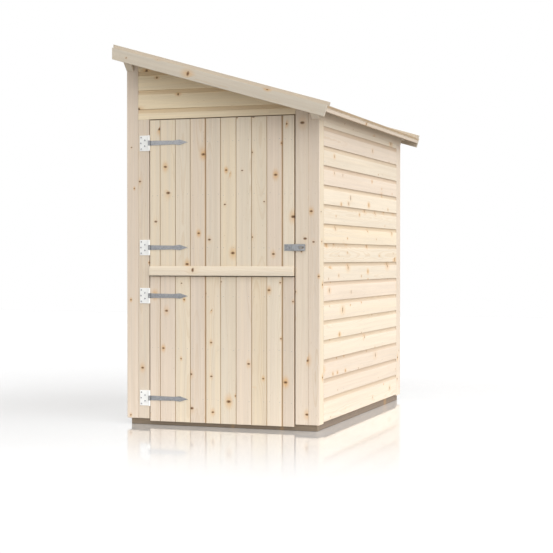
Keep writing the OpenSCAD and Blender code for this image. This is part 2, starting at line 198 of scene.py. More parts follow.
@dataclass(frozen=True)
class SpruceFinish:
    """Sawn or planed raw spruce: yearly rings round a pith, fibres, knots that push the rings aside."""

    name: str
    slot: str
    cream: Colour = (0.74, 0.645, 0.515)
    blush: Colour = (0.71, 0.600, 0.488)
    straw: Colour = (0.735, 0.615, 0.445)
    resin: Colour = (0.66, 0.36, 0.10)
    heart: Colour = (0.075, 0.034, 0.014)
    # The tan that the "edge" share multiplies in: painted shade in the shiplap hollows and under their lips, and in the
    # board joints partly painted shade and partly the joints' own brown.
    groove: Colour = (0.62, 0.47, 0.30)
    ring_pitch: float = 0.0042
    ring_depth: float = 0.30
    knot_share: float = 0.55
    knot_cells: tuple[float, float, float] = (4.3, 8.7, 1.5)
    knot_flat: float = 1.6
    knot_most: float = 0.0100
    roughness: float = 0.62
    relief: float = 0.0004

    def knots(self, g: Graph, along: Socket, chance: Socket) -> tuple[Socket, Socket, Socket, Socket]:
        """Knots on a scatter of cells.

        A knot sits at a cell's point. With du and dv the way to it along and across the grain, its own distance is
        r = sqrt((flat du)^2 + dv^2), and its radius R is drawn from the cell's colour.

        Args:
            g: the material's nodes.
            along: the point's place in the board, shifted by board.
            chance: not used.
        Returns:
            The heart, the rim, the resin halo, and the amount by which rings move across the grain.
        """
        cells = g.node("ShaderNodeTexVoronoi")
        cells.inputs["Scale"].default_value = 1.0
        scaled = g.vector("MULTIPLY", along, self.knot_cells)
        g.put(cells.inputs["Vector"], scaled)
        way = g.vector("SUBTRACT", scaled, cells.outputs["Position"])
        du, dv, _ = g.split(g.vector("DIVIDE", way, self.knot_cells))
        one, two, three = g.split(cells.outputs["Color"])
        present = g.math("GREATER_THAN", one, 1.0 - self.knot_share)
        ragged = g.math("MULTIPLY", g.noise(along, 160.0, 2.0), 0.0030)
        square = g.math("ADD", g.math("POWER", g.math("MULTIPLY", du, self.knot_flat), 2.0), g.math("POWER", dv, 2.0))
        r = g.math("ADD", g.math("SQRT", square), g.math("SUBTRACT", ragged, 0.0015))
        radius = g.math("ADD", g.math("MULTIPLY", g.math("POWER", two, 2.0), self.knot_most), 0.0042)
        heart = g.math("MULTIPLY", g.step(r, radius, g.math("MULTIPLY", radius, 0.55)), present)
        rim_gap = g.math("ABSOLUTE", g.math("SUBTRACT", r, radius))
        rim = g.math("MULTIPLY", g.step(rim_gap, 0.0022, 0.0), present)
        wide = g.math("ADD", g.math("POWER", g.math("MULTIPLY", du, 0.62), 2.0), g.math("POWER", dv, 2.0))
        halo = g.math("MULTIPLY", g.step(g.math("SQRT", wide), g.math("MULTIPLY", radius, 2.9), 0.0), present)
        halo = g.math("MULTIPLY", halo, g.math("ADD", g.math("MULTIPLY", three, 0.8), 0.15))
        area = g.math("POWER", g.math("MULTIPLY", radius, 2.1), 2.0)
        push = g.math("DIVIDE", g.math("MULTIPLY", dv, area), g.math("ADD", wide, area))
        return heart, rim, halo, g.math("MULTIPLY", push, present)

    def material(self) -> bpy.types.Material:
        """Builds the wood.

        A ring line lies where rho / pitch is whole, rho being the distance from the pith plus a slow wander along
        the board, so that flat-sawn boards show arches and quarter-sawn ones straight lines.
        """
        g = Graph(self.name)
        board = g.attribute("board").outputs["Vector"]
        grain = g.attribute("grain").outputs["Vector"]
        edge = g.attribute("edge").outputs["Fac"]
        b0, b1, b2 = g.split(board)
        shifted = g.vector("ADD", grain, g.vector("MULTIPLY", board, (41.0, 23.0, 17.0)))
        heart, rim, halo, push = self.knots(g, shifted, board)
        _, across, through = g.split(grain)
        wander = g.math("MULTIPLY", g.noise(g.vector("MULTIPLY", shifted, (0.9, 2.0, 2.0)), 1.0, 1.0), 0.070)
        ripple = g.math("MULTIPLY", g.noise(g.vector("MULTIPLY", shifted, (6.0, 14.0, 14.0)), 1.0, 2.0), 0.006)
        pith_v = g.math("MULTIPLY", g.math("SUBTRACT", b0, 0.5), 0.15)
        pith_w = g.math("ADD", g.math("MULTIPLY", b1, 0.09), 0.018)
        dv = g.math("SUBTRACT", g.math("SUBTRACT", across, push), pith_v)
        dw = g.math("ADD", through, pith_w)
        rho = g.math("SQRT", g.math("ADD", g.math("POWER", dv, 2.0), g.math("POWER", dw, 2.0)))
        rho = g.math("ADD", rho, g.math("ADD", wander, ripple))
        phase = g.math("FRACT", g.math("DIVIDE", rho, self.ring_pitch))
        late = g.math("MULTIPLY", g.step(phase, 0.35, 0.88), g.step(phase, 1.0, 0.93))
        bands = g.noise(g.join(g.math("MULTIPLY", rho, 1.0), b0, b1), 95.0, 2.0, 0.6)
        ring = g.math("MULTIPLY", late, g.step(bands, 0.30, 0.72))
        streak = g.noise(g.vector("MULTIPLY", shifted, (1.1, 58.0, 58.0)), 1.0, 3.0, 0.65)
        fibre = g.noise(g.vector("MULTIPLY", shifted, (14.0, 620.0, 620.0)), 1.0, 2.0)
        patch = g.noise(g.vector("MULTIPLY", shifted, (1.6, 7.0, 7.0)), 1.0, 2.0)
        speck = g.noise(g.vector("MULTIPLY", shifted, (60.0, 240.0, 240.0)), 1.0, 1.0)

        tone = g.math("ADD", g.math("MULTIPLY", b2, 1.5), g.math("SUBTRACT", patch, 0.75))
        colour = g.mix(g.step(tone, 0.30, 0.95), self.cream, self.blush)
        warm = g.math("ADD", g.math("MULTIPLY", b1, 1.3), g.math("SUBTRACT", streak, 0.95))
        colour = g.mix(g.step(warm, 0.25, 1.05, 0.85), colour, self.straw)
        level = g.math("ADD", g.math("MULTIPLY", b0, 0.09), 0.945)
        level = g.math("ADD", level, g.math("MULTIPLY", g.math("SUBTRACT", streak, 0.5), 0.27))
        level = g.math("ADD", level, g.math("MULTIPLY", g.math("SUBTRACT", fibre, 0.5), 0.10))
        level = g.math("ADD", level, g.math("MULTIPLY", g.math("SUBTRACT", patch, 0.5), 0.10))
        colour = g.mix(1.0, colour, g.join(level, level, level), "MULTIPLY")
        colour = g.mix(g.math("MULTIPLY", ring, self.ring_depth), colour, (0.56, 0.385, 0.20))
        colour = g.mix(g.step(speck, 0.70, 0.80, 0.35), colour, (0.42, 0.27, 0.13))
        colour = g.mix(g.math("MULTIPLY", halo, 0.80), colour, self.resin)
        colour = g.mix(g.math("MULTIPLY", rim, 0.70), colour, (0.17, 0.075, 0.025))
        knot = g.mix(g.step(fibre, 0.35, 0.65), self.heart, (0.24, 0.115, 0.045))
        colour = g.mix(heart, colour, knot)
        # Painted shade: the "edge" share multiplies the groove tan in. It darkens the shiplap hollows and lip
        # undersides for the shade there, and the joints partly for shade and partly for their own brown.
        colour = g.mix(edge, colour, self.groove, "MULTIPLY")

        rough = g.math("ADD", g.math("MULTIPLY", g.math("SUBTRACT", streak, 0.5), 0.18), self.roughness)
        rough = g.math("SUBTRACT", rough, g.math("MULTIPLY", heart, 0.18))
        relief = g.math("ADD", g.math("MULTIPLY", fibre, 0.55), g.math("MULTIPLY", ring, 0.45))
        relief = g.math("SUBTRACT", relief, g.math("MULTIPLY", rim, 0.8))
        normal = g.bump(g.math("ADD", relief, g.math("MULTIPLY", streak, 0.5)), self.relief)
        return g.finish(colour, rough, normal, Specular_IOR_Level=0.32)


@dataclass(frozen=True)
class GalvanisedFinish:
    """Zinc-coated steel: a cool grey with faint crystal spangle and dull smears."""

    name: str = "galvanised steel"
    slot: str = "galvanised_steel"
    light: Colour = (0.37, 0.375, 0.385)
    dull: Colour = (0.235, 0.24, 0.25)

    def material(self) -> bpy.types.Material:
        """Spangle is the cell colour of a fine scatter, and smears are a long soft noise."""
        g = Graph(self.name)
        place = g.place()
        cells = g.node("ShaderNodeTexVoronoi")
        cells.inputs["Scale"].default_value = 170.0
        g.put(cells.inputs["Vector"], place)
        spangle = g.split(cells.outputs["Color"])[0]
        smear = g.noise(g.vector("MULTIPLY", place, (14.0, 40.0, 70.0)), 1.0, 3.0)
        amount = g.math("ADD", g.math("MULTIPLY", spangle, 0.30), g.math("MULTIPLY", smear, 0.70))
        colour = g.mix(g.step(amount, 0.15, 0.85), self.dull, self.light)
        rough = g.math("ADD", g.math("MULTIPLY", spangle, 0.14), g.math("MULTIPLY", smear, 0.36))
        height = g.math("ADD", g.math("MULTIPLY", spangle, 0.3), g.noise(place, 900.0, 2.0))
        return g.finish(colour, g.math("ADD", rough, 0.16), g.bump(height, 0.00012), Metallic=0.82)


@dataclass(frozen=True)
class WhiteFinish:
    """White coated steel: satin, with fine orange peel and greyed rubs."""

    name: str = "white metal"
    slot: str = "white_metal"
    white: Colour = (0.90, 0.895, 0.87)
    rubbed: Colour = (0.80, 0.79, 0.76)

    def material(self) -> bpy.types.Material:
        """Rubs follow a coarse noise, and the peel is a fine one."""
        g = Graph(self.name)
        place = g.place()
        rub = g.step(g.noise(place, 38.0, 4.0, 0.65), 0.58, 0.74, 0.55)
        peel = g.noise(place, 700.0, 1.0)
        rough = g.math("ADD", g.math("MULTIPLY", rub, 0.25), 0.36)
        return g.finish(g.mix(rub, self.white, self.rubbed), rough, g.bump(peel, 0.00010), Coat_Weight=0.15)


class Wood(Enum):
    """The grades of spruce in the shed, with a lightened copy for the gable and a darkened one for the roof, which
    paint light and shade.
    """

    PLANED = SpruceFinish("planed spruce", "planed_spruce")
    CLADDING = SpruceFinish("cladding spruce", "cladding_spruce", knot_share=0.50, knot_flat=2.4, knot_most=0.0150)
    # The gable's boards: a brighter, warmer copy of the cladding spruce, painted light that makes up for the shade
    # under the front eave.
    GOLDEN = SpruceFinish("lightened gable spruce", "cladding_spruce", cream=(0.84, 0.715, 0.505), blush=(0.82, 0.69, 0.49),
                          straw=(0.83, 0.68, 0.45), knot_share=0.50, knot_most=0.0130)
    # The roof's boards: a darker copy of the spruce, painted shade that keeps their lit top from washing out and
    # darkens their under side at the eaves.
    ROOF = SpruceFinish("darkened roof spruce", "planed_spruce", cream=(0.655, 0.575, 0.46), blush=(0.63, 0.54, 0.43),
                        straw=(0.65, 0.545, 0.395), knot_flat=1.4)
    DULLED = SpruceFinish("dulled spruce", "planed_spruce", cream=(0.60, 0.535, 0.44), blush=(0.57, 0.50, 0.41),
                          straw=(0.60, 0.50, 0.385), knot_share=0.45)
    FRAME = SpruceFinish("framing spruce", "frame_spruce", cream=(0.66, 0.545, 0.39), blush=(0.62, 0.50, 0.37),
                         straw=(0.62, 0.475, 0.29), ring_depth=0.5, roughness=0.70, relief=0.0008)
    # The bearers: a dark brown spruce, much darker than the other grades.
    BEARER = SpruceFinish("dark brown bearer spruce", "frame_spruce", cream=(0.235, 0.185, 0.135), blush=(0.20, 0.155, 0.12),
                          straw=(0.24, 0.18, 0.12), ring_depth=0.35, roughness=0.78, relief=0.0010)


class Metal(Enum):
    """The two metals of the fittings."""

    GALVANISED = GalvanisedFinish()
    WHITE = WhiteFinish()


class Paintbox:
    """Makes each finish's material once and dresses pieces with it."""

    def __init__(self) -> None:
        """Starts with no material made."""
        self.made: dict[Enum, bpy.types.Material] = {}

    def dress(self, piece: bpy.types.Object, finish: Enum) -> bpy.types.Object:
        """Gives a piece its material."""
        if finish not in self.made:
            self.made[finish] = finish.value.material()
        piece.data.materials.clear()
        piece.data.materials.append(self.made[finish])
        return piece


@dataclass(frozen=True)
class Fit:
    """How a piece joins the frame: its body, the nodes it stands for and its finish."""

    body: str
    nodes: tuple[str, ...]
    finish: Enum


def settle(piece: bpy.types.Object, fit: Fit, paints: Paintbox) -> bpy.types.Object:
    """Dresses a finished piece, sets it on its body and reports it.

    Args:
        piece: the object, at the origin.
        fit: its body, nodes and finish.
        paints: the materials.
    Returns:
        The same object.
    """
    paints.dress(piece, fit.finish)
    if piece.name not in bpy.context.scene.collection.objects:
        bpy.context.scene.collection.objects.link(piece)
    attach(piece, fit.body)
    if fit.nodes:
        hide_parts(*fit.nodes)
    LOG.info("%s: %d faces on %s", piece.name, len(piece.data.polygons), fit.body)
    return piece


def write_attribute(mesh: bpy.types.Mesh, name: str, values: Array) -> None:
    """Puts one value or one vector per point into a named attribute of the mesh."""
    kind, key = ("FLOAT", "value") if values.ndim == 1 else ("FLOAT_VECTOR", "vector")
    found = mesh.attributes.get(name) or mesh.attributes.new(name, kind, "POINT")
    found.data.foreach_set(key, values.astype(np.float32).ravel())


def smooth(mesh: bpy.types.Mesh, angle: float = 32.0) -> None:
    """Shades a mesh smoothly, keeping edges sharper than the angle in degrees."""
    mesh.shade_smooth()
    mesh.set_sharp_from_angle(angle=math.radians(angle))


@dataclass
class BoardStack:
    """Boards gathered into one mesh."""

    name: str
    seed: int
    points: list[Array] = field(default_factory=list)
    faces: list[list[int]] = field(default_factory=list)
    grain: list[Array] = field(default_factory=list)
    board: list[Array] = field(default_factory=list)
    edge: list[Array] = field(default_factory=list)
    count: int = 0

    def __post_init__(self) -> None:
        """Seeds the draw of the boards' tones."""
        self.draw = np.random.default_rng(self.seed)

    def add(self, rings: Array, grain: Array, edge: Array) -> None:
        """Adds one closed board.

        Args:
            rings: the profile at each station, stations by profile points by 3.
            grain: the place in the board of each of those points.
            edge: how much of the groove tan each profile point takes, from 0 to 1: painted shade in hollows, and partly
                painted shade in joints.
        """
        m, n = rings.shape[:2]
        i, j = np.meshgrid(np.arange(m - 1), np.arange(n), indexing="ij")
        k = (j + 1) % n
        quads = np.stack([i * n + j, i * n + k, (i + 1) * n + k, (i + 1) * n + j], -1).reshape(-1, 4)
        flat = rings.reshape(-1, 3)
        a, b, c, d = (flat[quads[:, t]] for t in range(4))
        way = np.cross(c - a, d - b)
        outward = np.sum(way * ((a + b + c + d) / 4 - flat.mean(0))) > 0
        caps = [list(range(n))[::-1], list(range((m - 1) * n, m * n))]
        loops = quads.tolist() + caps
        if not outward:
            loops = [face[::-1] for face in loops]
        self.faces += [[self.count + v for v in face] for face in loops]
        self.count += m * n
        self.points.append(flat)
        self.grain.append(grain.reshape(-1, 3))
        self.board.append(np.tile(self.draw.random(3), (m * n, 1)))
        self.edge.append(np.tile(edge, m))

    def carry(self, profile: Array, stations: Array, start: Array, ways: Array, edge: Array) -> Array:
        """Carries a profile along a straight path: point = start + s along + a across + b outward.

        Args:
            profile: the outline, points by (a, b).
            stations: the distances s.
            start: the path's first point.
            ways: the unit vectors along, across and outward.
            edge: not used.
        Returns:
            The rings, stations by profile points by 3, which the caller may trim before add.
        """
        s = stations[:, None, None]
        rings = start + s * ways[0] + profile[None, :, :1] * ways[1] + profile[None, :, 1:] * ways[2]
        return rings

    def plank(self, profile: Array, edge: Array, stations: Array, start: Array, ways: Array,
              trim: "RoofLine | None" = None) -> None:
        """Adds one board that runs straight, trimmed under the roof where it has to be.

        Args:
            profile: the outline, points by (a, b).
            edge: how much of the groove tan each profile point takes: painted shade in hollows, and partly painted
                shade in joints.
            stations: distances along the board.
            start: the board's first point.
            ways: the unit vectors along, across and outward.
            trim: the line that cuts its top, or None.
        """
        rings = self.carry(profile, stations, start, ways, edge)
        m, n = rings.shape[:2]
        middle = profile.mean(0)
        grain = np.empty((m, n, 3))
        grain[..., 0] = stations[:, None] - stations.mean()
        grain[..., 1] = profile[None, :, 0] - middle[0]
        grain[..., 2] = profile[None, :, 1]
        if trim is not None:
            rings[..., 2] = np.minimum(rings[..., 2], trim.height(rings[..., 0]))
        self.add(rings, grain, edge)

    def build(self, fit: Fit, paints: Paintbox, angle: float = 24.0) -> bpy.types.Object:
        """Makes the mesh and settles it.

        Args:
            fit: its body, nodes and finish.
            paints: the materials.
            angle: the sharpest edge that still shades smooth, in degrees.
        Returns:
            The finished object.
        """
        mesh = bpy.data.meshes.new(self.name)
        mesh.from_pydata(np.concatenate(self.points), [], self.faces)
        write_attribute(mesh, "grain", np.concatenate(self.grain))
        write_attribute(mesh, "board", np.concatenate(self.board))
        write_attribute(mesh, "edge", np.concatenate(self.edge))
        smooth(mesh, angle)
        return settle(bpy.data.objects.new(self.name, mesh), fit, paints)


@dataclass(frozen=True)
class RoofLine:
    """The straight fall of the roof from the high left edge to the low right one."""

    pitch: float
    high_x: float
    high_z: float
    depth: float = 0.0

    def height(self, x: Array) -> Array:
        """Height of the line that lies depth below the roof's top, square to the slope."""
        drop = self.depth / math.cos(self.pitch)
        return self.high_z - (x - self.high_x) * math.tan(self.pitch) - drop

    def under(self, depth: float) -> "RoofLine":
        """The same line, depth lower square to the slope."""
        return RoofLine(self.pitch, self.high_x, self.high_z, self.depth + depth)

    def ways(self) -> Array:
        """Unit vectors down the slope, towards the back, and up from the roof."""
        c, s = math.cos(self.pitch), math.sin(self.pitch)
        return np.array([[c, 0.0, -s], [0.0, 1.0, 0.0], [s, 0.0, c]])


@dataclass(frozen=True)
class Joint:
    """The tongue on a board's far edge and the groove in its near edge, with the gap between two boards."""

    gap: float = 0.0006
    tongue: float = 0.0050
    groove: float = 0.0058
    front: float = 0.0080
    back: float = 0.0125
    ease: float = 0.0004

    def outline(self, face: Array, thickness: float, width: float, last: bool = False) -> tuple[Array, Array]:
        """Closes a board's outline behind its face.

        Args:
            face: the face's points (a, b) from the near edge to the far one, with b = 0 at the surface.
            thickness: the board's thickness.
            width: the pitch of the boards.
            last: leaves out the tongue on the last board.
        Returns:
            The outline, and the share of the groove tan at each point, which is partly painted shade and partly the
            joints' own brown.
        """
        far, near = width - self.gap, self.gap
        reach = 0.0 if last else self.tongue
        behind = [(far, -self.front), (far + reach, -self.front), (far + reach, -self.back), (far, -self.back),
                  (far, -thickness), (near, -thickness), (near, -self.back - self.ease),
                  (near + self.groove, -self.back - self.ease), (near + self.groove, -self.front + self.ease),
                  (near, -self.front + self.ease)]
        if last:
            behind = [(far, -thickness)] + behind[5:]
        outline = np.concatenate([face, np.array(behind)])
        # The tongue, the groove and the chamfers' feet take the full tan, partly painted shade and partly the joints'
        # own brown; the back face takes none.
        shade = np.concatenate([np.zeros(len(face)), np.where(np.array(behind)[:, 1] <= -thickness, 0.0, 1.0)])
        shade[[0, len(face) - 1]] = 1.0
        return outline, shade


@dataclass
class Shiplap:
    """Walls of horizontal boards, each with a hollow along its top that the next board's lip hangs over."""

    roof: RoofLine
    pitch: float = 0.112
    side_arris: float = 1.726
    gable_arris: float = 1.964
    thickness: float = 0.018
    hollow: float = 0.025
    depth: float = 0.0060
    lap: float = 0.0075
    play: float = 0.0004
    hollow_points: int = 8
    step: float = 0.16

    def outline(self) -> tuple[Array, Array]:
        """One board's outline from its lip's lower edge at a = 0.

        The hollow starts at the arris and is a quarter round: with f from 0 to 90 degrees, a = arris + hollow
        (1 - cos f) and b = -depth sin f. Behind it the board stands up by lap behind the next board's lip.

        Returns:
            The outline, and the share of the groove tan at each of its points, which is painted shade in the hollow and
            under the lip.
        """
        arris, d, back = self.pitch - self.hollow, self.depth, self.thickness
        turn = np.linspace(0.18, 1.0, self.hollow_points) * math.pi / 2
        face = [(0.0, -0.0018), (0.0006, -0.0006), (0.0018, 0.0), (arris - 0.0022, 0.0), (arris - 0.0009, -0.0004)]
        hollow = np.stack([arris + self.hollow * (1 - np.cos(turn)), -d * np.sin(turn)], 1)
        behind = [(self.pitch + self.lap, -d), (self.pitch + self.lap, -back), (self.lap + self.play, -back),
                  (self.lap + self.play, self.play - d), (0.0, self.play - d)]
        outline = np.concatenate([np.array(face), hollow, np.array(behind)])
        # Painted shade: the hollow's tan rises from the arris to its deep end for the shadow of the next board's lip,
        # and the lip's under side and the hidden upstand take it too.
        shade = np.concatenate([[0.25, 0.0, 0.0, 0.0, 0.0], np.linspace(0.30, 0.50, self.hollow_points),
                                [1.0, 0.0, 0.0, 1.0, 0.7]])
        return outline, shade

    def feet(self, arris: float, low: float, high: float) -> Array:
        """Heights of the boards' lower edges between low and high."""
        grid = arris + self.hollow
        first = grid - self.pitch * math.floor((grid - low) / self.pitch + 0.5)
        return np.arange(first, high - 0.004, self.pitch)

    def wall(self, node: str, across: Array, outward: Array, seed: int, arris: float, sloped: bool,
             paints: Paintbox, finish: Wood = Wood.CLADDING) -> bpy.types.Object:
        """Builds one wall in the place of its node.

        Args:
            node: the CAD wall it stands for.
            across: the unit vector along its boards.
            outward: the unit vector out of the shed.
            seed: draws the boards' tones.
            arris: the height of one board's arris.
            sloped: True where the roof cuts the boards.
            paints: the materials.
            finish: the boards' wood.
        Returns:
            The finished wall.
        """
        low, high = (np.array(corner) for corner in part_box(node))
        stack = BoardStack(f"{node}_boards", seed)
        start = np.where(np.abs(across) > 0.5, low, np.where(outward > 0.5, high, low))
        length = float(np.abs(across) @ (high - low))
        ways = np.array([across, Z_AXIS, outward])
        for k, foot in enumerate(self.feet(arris, low[2], high[2])):
            outline, shade = self.outline()
            if k == 0:
                lip = outline[:, 0] <= self.lap + self.play + 1e-9
                outline[lip, 0] += min(low[2] - foot, 0.0)
                outline[:, 0] = np.maximum(outline[:, 0], low[2] - foot)
            outline[:, 0] = np.minimum(outline[:, 0], high[2] - foot)
            span = length
            if sloped:
                reach = (float(self.roof.height(np.array(0.0))) - foot - 0.004) / math.tan(self.roof.pitch)
                span = min(length, reach - start[0])
            stations = np.linspace(0.0, span, max(3, int(span / (0.02 if sloped else self.step))))
            origin = np.array([start[0], start[1], foot])
            stack.plank(outline, shade, stations, origin, ways, self.roof if sloped else None)
        return stack.build(Fit("shed", (node,), finish), paints)

    def build(self, paints: Paintbox) -> None:
        """Builds the four clad faces."""
        self.wall("right_wall", Y_AXIS, X_AXIS, 11, self.side_arris, False, paints)
        self.wall("left_wall", Y_AXIS, -X_AXIS, 12, self.side_arris, False, paints)
        self.wall("back_wall", X_AXIS, Y_AXIS, 13, self.side_arris, True, paints)
        # The gable takes the lightened copy of the cladding: painted light against the shade under the front eave.
        self.wall("front_gable", X_AXIS, -Y_AXIS, 14, self.gable_arris, True, paints, Wood.GOLDEN)


@dataclass
class DoorLeaf:
    """A leaf of upright boards with V joints between them."""

    node: str
    body: str
    seed: int
    joints: tuple[float, ...] = (-0.430, -0.332, -0.237, -0.141, -0.045, 0.0515, 0.1475, 0.2414, 0.3352)
    wide_joints: tuple[int, ...] = (3, 8)
    thickness: float = 0.018
    chamfer: float = 0.0022
    joint: Joint = Joint()

    def build(self, paints: Paintbox) -> bpy.types.Object:
        """Builds the leaf: each board's face is flat between two chamfers, which are wider at the open joints."""
        low, high = (np.array(corner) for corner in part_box(self.node))
        stack = BoardStack(self.node + "_grooved", self.seed)
        edges = np.array([low[0], *self.joints, high[0]])
        stations = np.linspace(0.0, high[2] - low[2], 7)
        for k, (left, right) in enumerate(zip(edges[:-1], edges[1:])):
            width, gap, ends = right - left, self.joint.gap, (k == 0, k == len(edges) - 2)
            cuts = [self.chamfer * (0.35 if end else 3.0 if wide else 1.0)
                    for end, wide in zip(ends, (k - 1 in self.wide_joints, k in self.wide_joints))]
            near = 0.0 if ends[0] else gap
            depth = [min(cut, 0.0055) for cut in cuts]
            face = np.array([(near, -depth[0]), (near + cuts[0], 0.0), (near + cuts[0] + 0.004, 0.0),
                             (width - cuts[1] - 0.004, 0.0), (width - gap - cuts[1], 0.0), (width - gap, -depth[1])])
            outline, shade = self.joint.outline(face, self.thickness, width, ends[1])
            start = np.array([left, low[1], low[2]])
            stack.plank(outline, shade, stations, start, np.array([Z_AXIS, X_AXIS, -Y_AXIS]))
        return stack.build(Fit(self.body, (self.node,), Wood.PLANED), paints)


@dataclass
class RoofBoards:
    """The roof's boards, which run down the slope with V joints on their under side."""

    roof: RoofLine
    top_depth: float = 0.020
    thickness: float = 0.018
    pitch: float = 0.0957
    chamfer: float = 0.0030
    joint: Joint = Joint()

    def build(self, paints: Paintbox) -> bpy.types.Object:
        """Builds the roof's boards, plumb at the high end and square to the slope at the low one.

        With b the height above the roof line, the first ring starts at s = -b tan(pitch), which makes x constant.
        """
        low, high = (np.array(corner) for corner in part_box("roof_deck"))
        stack = BoardStack("roof_boards", 21)
        count = round((high[1] - low[1]) / self.pitch)
        width = (high[1] - low[1]) / count
        along, across, up = self.roof.ways()
        length = (high[0] - low[0] + self.top_depth * math.sin(self.roof.pitch)) / math.cos(self.roof.pitch)
        stations = np.linspace(0.0, length, 9)
        c, gap = self.chamfer, self.joint.gap
        for k in range(count):
            face = np.array([(gap, -c), (gap + c, 0.0), (width - gap - c, 0.0), (width - gap, -c)])
            outline, shade = self.joint.outline(face, self.thickness, width, k == count - 1)
            start = np.array([low[0], low[1] + k * width, self.roof.high_z]) - up * (self.top_depth + self.thickness)
            rings = start + stations[:, None, None] * along + outline[None, :, :1] * across \
                - outline[None, :, 1:] * up
            height = outline[:, 1] + self.thickness + self.top_depth - self.thickness
            depth_here = self.top_depth + self.thickness + outline[:, 1]
            rings[0] += (depth_here * math.tan(self.roof.pitch))[:, None] * along
            grain = np.empty(rings.shape)
            grain[..., 0] = stations[:, None] - length / 2
            grain[..., 1] = outline[None, :, 0] - width / 2
            grain[..., 2] = outline[None, :, 1]
            # The roof joints take 0.8 of the tan: partly painted shade and partly the joints' own brown.
            stack.add(rings, grain, shade * 0.8)
        return stack.build(Fit("shed", ("roof_deck",), Wood.ROOF), paints)


@dataclass
class FloorBoards:
    """The floor inside, of boards across the shed."""

    pitch: float = 0.116
    thickness: float = 0.018
    joint: Joint = Joint()

    def build(self, paints: Paintbox) -> bpy.types.Object:
        """Builds the boards from the front to the back."""
        low, high = (np.array(corner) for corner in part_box("floor_boards"))
        stack = BoardStack("floor_planks", 22)
        count = round((high[1] - low[1]) / self.pitch)
        width = (high[1] - low[1]) / count
        stations = np.linspace(0.0, high[0] - low[0], 5)
        gap, c = self.joint.gap, 0.001
        face = np.array([(gap, -c), (gap + c, 0.0), (width - gap - c, 0.0), (width - gap, -c)])
        for k in range(count):
            outline, shade = self.joint.outline(face, self.thickness, width, k == count - 1)
            start = np.array([low[0], low[1] + k * width, high[2]])
            stack.plank(outline, shade, stations, start, np.array([X_AXIS, Y_AXIS, Z_AXIS]))
        return stack.build(Fit("shed", ("floor_boards",), Wood.FRAME), paints)


@dataclass
class EasedPiece:
    """A CAD shape with its arrises taken off and its grain laid along each stick."""

    node: str
    finish: Enum
    ease: float = 0.0016
    seed: int = 1

    def islands(self, edges: Array, count: int) -> Array:
        """Labels each point with the lowest point it is joined to, by passing labels along edges until none change."""
        label = np.arange(count)
        while True:
            least = np.minimum(label[edges[:, 0]], label[edges[:, 1]])
            fresh = label.copy()
            np.minimum.at(fresh, edges[:, 0], least)
            np.minimum.at(fresh, edges[:, 1], least)
            fresh = fresh[fresh]
            if np.array_equal(fresh, label):
                return label
            label = fresh

    def lay_grain(self, mesh: bpy.types.Mesh) -> None:
        """Writes each stick's grain: its long, wide and thin ways are the axes along which its points spread most."""
        points = np.empty(len(mesh.vertices) * 3)
        mesh.vertices.foreach_get("co", points)
        points = points.reshape(-1, 3)
        edges = np.empty(len(mesh.edges) * 2, np.int64)
        mesh.edges.foreach_get("vertices", edges)
        label = self.islands(edges.reshape(-1, 2), len(points))
        grain, board = np.empty_like(points), np.empty_like(points)
        draw = np.random.default_rng(self.seed)
        for island in np.unique(label):
            own = label == island
            part = points[own] - (points[own].min(0) + points[own].max(0)) / 2
            _, ways = np.linalg.eigh(part.T @ part)
            grain[own] = part @ ways[:, ::-1]
            board[own] = draw.random(3)
        write_attribute(mesh, "grain", grain)
        write_attribute(mesh, "board", board)
        write_attribute(mesh, "edge", np.zeros(len(points)))

    def build(self, paints: Paintbox) -> bpy.types.Object:
        """Copies the CAD shape, merges it, bevels its edges and settles it."""
        source = frame["nodes"][self.node]
        mesh = source.data.copy()
        mesh.name = self.node + "_eased"
        work = bmesh.new()
        work.from_mesh(mesh)
        bmesh.ops.remove_doubles(work, verts=work.verts, dist=1e-5)
        bmesh.ops.dissolve_limit(work, angle_limit=math.radians(1.0), verts=work.verts, edges=work.edges)
        work.to_mesh(mesh)
        work.free()
        for found in list(mesh.attributes):
            if found.name.startswith(("Color", "UVMap", "custom_normal")):
                mesh.attributes.remove(found)
        self.lay_grain(mesh)
        piece = bpy.data.objects.new(mesh.name, mesh)
        bevel = piece.modifiers.new("ease", "BEVEL")
        bevel.width, bevel.segments, bevel.limit_method = self.ease, 2, "ANGLE"
        bevel.angle_limit, bevel.harden_normals = math.radians(35), False
        smooth(mesh, 40.0)
        return settle(piece, Fit(source["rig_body"], (self.node,), self.finish), paints)


@dataclass
class Timbers:
    """The frame, the outer boards and the trim, each eased and grained."""

    bearers: tuple[str, ...] = ("front_bearer", "back_bearer", "long_bearers")
    framing: tuple[str, ...] = ("corner_posts", "door_posts", "lintel", "door_stops", "side_studs", "back_studs",
                                "middle_purlin", "gable_rafters")
    trim: tuple[str, ...] = ("high_purlin", "low_purlin", "eave_strip", "weather_rail", "upper_leaf_ledges",
                             "lower_leaf_ledges")
    corners: tuple[str, ...] = ("left_corner_board", "right_corner_board", "left_jamb_board", "right_jamb_board",
                                "side_corner_boards", "back_corner_boards")
    roof_edges: tuple[str, ...] = ("front_bargeboard", "back_bargeboard", "edge_battens")

    def build(self, paints: Paintbox) -> None:
        """Builds every timber."""
        groups = ((self.bearers, Wood.BEARER, 0.0025, 100), (self.framing, Wood.FRAME, 0.0020, 120),
                  (self.trim, Wood.PLANED, 0.0014, 200), (self.corners, Wood.PLANED, 0.0028, 220),
                  (self.roof_edges, Wood.DULLED, 0.0014, 240))
        for nodes, finish, ease, seed in groups:
            for k, node in enumerate(nodes):
                EasedPiece(node, finish, ease, seed + k).build(paints)


